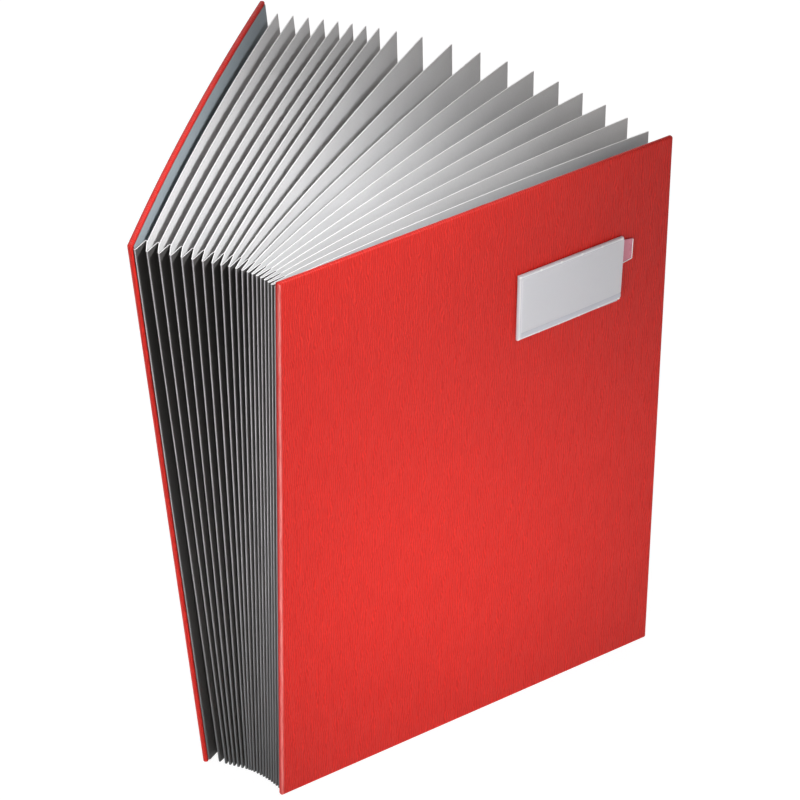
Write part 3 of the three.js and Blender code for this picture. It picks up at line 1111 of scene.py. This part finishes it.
@dataclass
class LabelHolder:
    """The clear welded pocket on the front cover, its lug and its blank card."""

    finishes: Finishes
    wall: float = 0.45 * MM
    back_inset: float = 0.2 * MM
    softening: float = 0.12 * MM
    lug_reach: float = 7.5 * MM
    lug_foot: float = 22.6 * MM
    lug_height: float = 15.4 * MM
    lug_slope: float = 1.2 * MM
    lug_dip: float = 1.4 * MM
    lug_seat: float = 0.05 * MM
    mouth_slant: float = 0.9 * MM
    foot_rise: float = 1.4 * MM
    rim_width: float = 1.7 * MM
    rim_drop: float = 0.45 * MM
    fold_height: float = 4.3 * MM
    fold_depth: float = 0.14 * MM
    fold_half: float = 0.5 * MM
    step: float = 2.5 * MM
    seam_radius: float = 0.26 * MM
    seam_inset: float = 0.9 * MM
    seam_seat: float = 0.1 * MM
    seam_steps: int = 12
    dot_radius: float = 0.85 * MM
    hidden_dot: float = 0.05 * MM
    dot_spacing: float = 12.5 * MM

    def __post_init__(self) -> None:
        """Measures the holder's solid and the pocket in it."""
        self.low, self.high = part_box("label_holder")
        self.width = self.high.x - self.low.x - self.lug_reach
        self.height = self.high.z - self.low.z
        self.depth = self.high.y - self.low.y

    def place(self, run: float, out: float, rise: float) -> Vector:
        """Finds a point of the holder.

        Args:
            run: Distance from the pocket's shut end.
            out: Distance from the holder's back.
            rise: Distance from the pocket's foot.

        Returns:
            The point in the frame. The mouth end slants and its foot rises a little.
        """
        share = min(max(run / self.width, 0.0), 1.0)
        lift = self.foot_rise * share ** 2 * (1 - rise / self.height)
        slant = self.mouth_slant * share * rise / self.height
        return Vector((self.low.x + run + slant, self.high.y - out, self.low.z + rise + lift))

    def ramp_in(self) -> list[tuple[float, float]]:
        """Steps from the pocket's edge inwards, up its wall and over its pressed rim.

        Returns:
            For each step its distance from the edge and its height over the back.
        """
        rim = self.depth - self.rim_drop
        return [(0.0, self.wall), (0.0, rim - 0.45 * MM), (0.13 * MM, rim - 0.16 * MM),
                (0.45 * MM, rim), (self.rim_width - 0.35 * MM, rim),
                (self.rim_width, self.depth - 0.1 * MM), (self.rim_width + 0.5 * MM, self.depth)]

    def front(self) -> Piece:
        """Builds the pocket's front sheet with its side walls, open at the mouth.

        Returns:
            The front sheet, dressed.
        """
        edge, fold, half = self.ramp_in(), self.fold_height, self.fold_half
        inner = edge[-1][0]
        count = math.ceil((self.width - inner) / self.step)
        runs = edge + [(run, self.depth) for run in spread(inner, self.width, count)[1:]]
        count = math.ceil((self.height - inner - fold) / self.step)
        rises = edge + [(fold - half, self.depth), (fold, self.depth - self.fold_depth),
                        (fold + half, self.depth)]
        rises += [(rise, self.depth) for rise in spread(fold, self.height - inner, count)[1:-1]]
        rises += [(self.height - distance, out) for distance, out in reversed(edge)]
        points = [self.place(run, min(across, up), rise)
                  for rise, up in rises for run, across in runs]
        slots = [self.front_slot(j, i, len(edge), len(rises))
                 for j in range(len(rises) - 1) for i in range(len(runs) - 1)]
        shell = mesh_object("pocket_front_sheet", points, grid_faces(len(runs), len(rises)),
                            [self.finishes.plastic, self.finishes.rim, self.finishes.fold],
                            slots)
        work = bmesh.new()
        work.from_mesh(shell.data)
        bmesh.ops.remove_doubles(work, verts=work.verts, dist=MERGE_DISTANCE)
        bmesh.ops.dissolve_degenerate(work, edges=work.edges, dist=MERGE_DISTANCE)
        work.to_mesh(shell.data)
        work.free()
        thick = shell.modifiers.new("wall", "SOLIDIFY")
        thick.thickness = self.wall
        thick.offset = -1.0
        made = settle(shell, "label_pocket_front")
        smooth(made, 50.0)
        return made

    @staticmethod
    def front_slot(row: int, column: int, rim: int, rows: int) -> int:
        """Picks the finish of a face of the front sheet.

        Args:
            row: Row of the face.
            column: Column of the face.
            rim: Grid lines across the rim.
            rows: Grid lines up the sheet.

        Returns:
            1 on the welded rim, 2 from there up to the fold, and 0 elsewhere.
        """
        if column < rim - 2 or row < rim - 2 or row > rows - rim:
            return 1
        return 2 if row < rim + 2 else 0

    def plate(self, name: str, corners: Sequence[tuple[float, float]], out: float,
              material: Material) -> Piece:
        """Builds a flat plate with softened arrises, as thick as the pocket's wall.

        Args:
            name: Name of the piece.
            corners: Run and rise of each corner, counter-clockwise seen from outside.
            out: Distance of its underside from the holder's back.
            material: Its finish.

        Returns:
            The plate.
        """
        points = [self.place(run, level, rise) for level in (out, out + self.wall)
                  for run, rise in corners]
        size = len(corners)
        faces: list[Face] = [tuple(reversed(range(size))), tuple(range(size, 2 * size))]
        faces += [(k, (k + 1) % size, size + (k + 1) % size, size + k) for k in range(size)]
        made = mesh_object(name, points, faces, [material])
        bevel = made.modifiers.new("softened", "BEVEL")
        bevel.width = self.softening
        bevel.segments = 2
        made = settle(made, name)
        smooth(made, 20.0)
        return made

    def seam_form(self) -> NodeForm:
        """Builds a tree that runs a bead along a line and sets weld dots on its points.

        Returns:
            The tree with its named inputs.
        """
        form = NodeForm("welded_seam", {"Radius": "Float", "Dot radius": "Float",
                                        "Finish": "Material"})
        line = form.node("GeometryNodeMeshToCurve",
                         {"Mesh": form.entry["Geometry"]}).outputs["Curve"]
        circle = form.node("GeometryNodeCurvePrimitiveCircle", {
            "Resolution": 10, "Radius": form.entry["Radius"]})
        bead = form.node("GeometryNodeCurveToMesh", {
            "Curve": line, "Profile Curve": circle.outputs["Curve"], "Fill Caps": True})
        spaced = form.node("GeometryNodeCurveToPoints",
                           {"Curve": line, "Length": self.dot_spacing}, mode="LENGTH")
        dot = form.node("GeometryNodeMeshIcoSphere", {
            "Subdivisions": 2, "Radius": form.entry["Dot radius"]})
        dots = form.node("GeometryNodeInstanceOnPoints", {
            "Points": spaced.outputs["Points"], "Instance": dot.outputs["Mesh"],
            "Scale": (1.0, 0.35, 1.0)})
        join = form.node("GeometryNodeJoinGeometry",
                         {"Geometry": dots.outputs["Instances"]})
        form.feed(bead.outputs["Mesh"], join.inputs["Geometry"])
        form.finish(join.outputs["Geometry"], form.entry["Finish"])
        return form

    def seam(self, form: NodeForm, name: str, line: Sequence[Vector],
             dot_radius: float) -> Piece:
        """Runs a welded seam along a line.

        Args:
            form: The seam's tree.
            name: Name of the piece.
            line: Points of the line.
            dot_radius: Radius of the weld dots along it.

        Returns:
            The seam.
        """
        path = mesh_object(name, line, edges=[(k, k + 1) for k in range(len(line) - 1)])
        made = form.shape(path, name, {"Radius": self.seam_radius, "Dot radius": dot_radius,
                                       "Finish": self.finishes.weld})
        smooth(made, 60.0)
        return made

    def seams(self) -> list[Piece]:
        """Builds the seams round the pocket and the lip of the lug.

        Returns:
            The seams at the foot, the top and the shut end, and the lip.
        """
        form = self.seam_form()
        out = self.depth - self.rim_drop - self.seam_seat
        start, steps = self.seam_inset, self.seam_steps
        end, top = self.width - start, self.height - start
        foot = [self.place(run, out, start) for run in spread(end, start, steps)]
        head = [self.place(run, out, top) for run in spread(start, end, steps)]
        side = [self.place(start, out, rise) for rise in spread(start, top, steps // 2)]
        tip = self.width + self.lug_reach - self.seam_radius
        lug_top = self.lug_foot + self.lug_height - self.lug_dip - self.seam_radius
        edge = self.wall + self.seam_radius
        lip = [self.place(tip, edge, lug_top),
               self.place(tip, edge, self.lug_foot + self.lug_slope),
               self.place(self.width + self.seam_radius, edge, self.lug_foot)]
        return [self.seam(form, "pocket_foot_weld", foot, self.dot_radius),
                self.seam(form, "pocket_top_weld", head, self.dot_radius),
                self.seam(form, "pocket_end_weld", side, self.hidden_dot),
                self.seam(form, "lug_lip", lip, self.hidden_dot)]

    def build(self) -> None:
        """Builds the holder and dresses the card."""
        width, low, high = self.width, self.back_inset, self.height - self.back_inset
        back = self.plate("label_pocket_back",
                          [(low, low), (width, low), (width, high), (low, high)], 0.0,
                          self.finishes.plastic)
        tip, foot = width + self.lug_reach, self.lug_foot
        top = foot + self.lug_height
        # The lug is opaque; its pink tint paints the red cover as if seen through it.
        lug = self.plate("label_pocket_lug",
                         [(width, foot), (tip, foot + self.lug_slope),
                          (tip, top - self.lug_dip), (width, top)], self.lug_seat,
                         self.finishes.clear)
        for piece in (self.front(), back, lug, *self.seams()):
            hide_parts("label_holder")
            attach(piece, Body.FRONT.value)
            report(piece)
        dress_node("label_card", self.finishes.label)


@dataclass
class Studio:
    """White floor, soft lamps and the camera at the photograph's viewing angle."""

    azimuth: float = -34.659
    elevation: float = 36.30
    roll: float = 0.737
    distance: float = 2.3865
    lens: float = 200.58
    aim: Vector = field(default_factory=lambda: Vector((-0.004, -0.00145, 0.17)))
    aim_right: float = -0.03632
    aim_up: float = 0.04005
    floor_size: float = 12.0
    floor_colour: Colour = (0.82, 0.82, 0.83)
    floor_glow: float = 1.29
    floor_blend: float = 0.72
    fill_colour: Colour = (1.0, 0.97, 0.94)
    fill: float = 0.24

    def camera(self) -> None:
        """Places the camera."""
        side, height = math.radians(self.azimuth), math.radians(self.elevation)
        back = Vector((math.sin(side) * math.cos(height), -math.cos(side) * math.cos(height),
                       math.sin(height)))
        level = Vector((0, 0, 1)).cross(back).normalized()
        steep = back.cross(level)
        lean = math.radians(self.roll)
        right = level * math.cos(lean) + steep * math.sin(lean)
        up = steep * math.cos(lean) - level * math.sin(lean)
        place = self.aim + right * self.aim_right + up * self.aim_up + back * self.distance
        data = bpy.data.cameras.new("camera")
        data.lens = self.lens
        data.sensor_width = 36.0
        data.clip_end = 50.0
        made = linked("camera", data)
        turn = Matrix((right, up, back)).transposed().to_4x4()
        made.matrix_world = Matrix.Translation(place) @ turn
        bpy.context.scene.camera = made

    def lamp(self, name: str, kind: str, place: Sequence[float], target: Sequence[float],
             power: float, colour: Colour = (1.0, 1.0, 1.0), **settings: float) -> None:
        """Hangs a soft lamp.

        Args:
            name: Name of the lamp.
            kind: AREA for a square lamp, SPOT for one that fades across its pool of light.
            place: Its middle.
            target: The point it faces.
            power: Its power in watts.
            colour: Its colour.
            **settings: Its size and, for a spot, its opening in radians.
        """
        data = bpy.data.lights.new(name, kind)
        data.energy = power
        data.color = colour
        for key, value in settings.items():
            setattr(data, key, value)
        made = linked(name, data)
        made.location = place
        made.visible_camera = kind != "AREA"
        aim = Vector(target) - Vector(place)
        made.rotation_euler = aim.to_track_quat("-Z", "Y").to_euler()

    def spot(self, name: str, place: Sequence[float], target: Sequence[float], radius: float,
             cone: float, power: float, colour: Colour = (1.0, 1.0, 1.0)) -> None:
        """Hangs a spot with a radius in metres and an opening in degrees."""
        self.lamp(name, "SPOT", place, target, power, colour, shadow_soft_size=radius,
                  spot_size=math.radians(cone), spot_blend=1.0)

    @staticmethod
    def seen_and_lit(graph: NodeGraph, rays: Sequence[str], seen: Socket, lit: Socket,
                     surface: Socket) -> None:
        """Shows one shader along the named rays and another along the rest.

        Args:
            graph: The tree.
            rays: Outputs of the light path that see the first shader.
            seen: The first shader.
            lit: The other shader, which lights the book.
            surface: Input that takes the result.
        """
        path = graph.node("ShaderNodeLightPath")
        factor = path.outputs[rays[0]]
        for ray in rays[1:]:
            factor = graph.math("MAXIMUM", factor, path.outputs[ray])
        mixer = graph.node("ShaderNodeMixShader", {"Fac": factor, 1: lit, 2: seen})
        graph.feed(mixer.outputs[0], surface)

    def floor(self) -> None:
        """Lays a white floor that keeps the book's soft shadow."""
        half = self.floor_size / 2
        corners = [Vector((x * half, y * half, 0))
                   for x, y in ((-1, -1), (1, -1), (1, 1), (-1, 1))]
        graph = ShaderGraph("floor")
        graph.dress(Base_Color=(*self.floor_colour, 1.0), Roughness=0.9)
        plain = graph.shader.outputs[0]
        glow = graph.node("ShaderNodeEmission", {"Strength": self.floor_glow})
        blend = graph.node("ShaderNodeMixShader", {
            "Fac": self.floor_blend, 1: plain, 2: glow.outputs[0]})
        self.seen_and_lit(graph, ("Is Camera Ray", "Is Glossy Ray", "Is Transmission Ray"),
                          blend.outputs[0], plain, graph.output.inputs["Surface"])
        mesh_object("floor", corners, [(0, 1, 2, 3)], [graph.material])

    def world(self) -> None:
        """Sets a white surround with a plain soft fill."""
        world = bpy.data.worlds.new("studio")
        bpy.context.scene.world = world
        world.use_nodes = True
        graph = NodeGraph(world.node_tree)
        graph.tree.nodes.clear()
        output = graph.node("ShaderNodeOutputWorld")
        seen, lit = (graph.node("ShaderNodeBackground", {
            "Color": (*colour, 1.0), "Strength": strength}).outputs[0]
            for colour, strength in (((1.0, 1.0, 1.0), 1.0), (self.fill_colour, self.fill)))
        self.seen_and_lit(graph, ["Is Camera Ray"], seen, lit, output.inputs["Surface"])

    def build(self) -> None:
        """Builds the studio."""
        self.camera()
        self.floor()
        self.world()
        self.spot("key", (-0.56, -1.32, 0.28), (-0.024, 0.0, 0.108), 0.10, 14.4, 54.0)
        self.spot("top", (0.38, -0.61, 1.27), (-0.112, 0.084, 0.34), 0.11, 17.5, 98.0,
                  (0.96, 0.98, 1.0))
        for name, place, target, size, power in (
            ("front", (-0.9, -2.2, 1.3), (0.02, 0.0, 0.15), 1.6, 3.0),
            ("side", (-1.7, -0.7, 0.5), (-0.14, 0.03, 0.17), 0.6, 14.0),
            ("back", (1.3, 2.0, 1.0), (0.0, 0.1, 0.18), 1.6, 16.0),
            ("bounce", (0.06, -0.32, 0.03), (-0.06, 0.0, 0.14), 0.30, 0.32),
        ):
            self.lamp(name, "AREA", place, target, power, size=size)
        bpy.context.scene.view_settings.view_transform = "Standard"
        LOG.info("studio built")


def write_sizes() -> None:
    """Defines a helper that turns a box into plain numbers; nothing is written."""
    def plain(box: Iterable[Iterable[float]]) -> list[list[float]]:
        return [[float(value) for value in corner] for corner in box]


def main() -> None:
    """Builds the studio, the finishes and every sub-assembly of the book."""
    logging.basicConfig(level=logging.INFO, format="%(name)s: %(message)s")
    Studio().build()
    finishes = Finishes.build()
    WrappedCover("front", Body.FRONT, False, finishes).build()
    WrappedCover("back", Body.BACK, True, finishes).build()
    ConcertinaSpine(finishes).build()
    CardLeaves(finishes).build()
    LabelHolder(finishes).build()
    write_sizes()


if __name__ == "__main__":
    main()
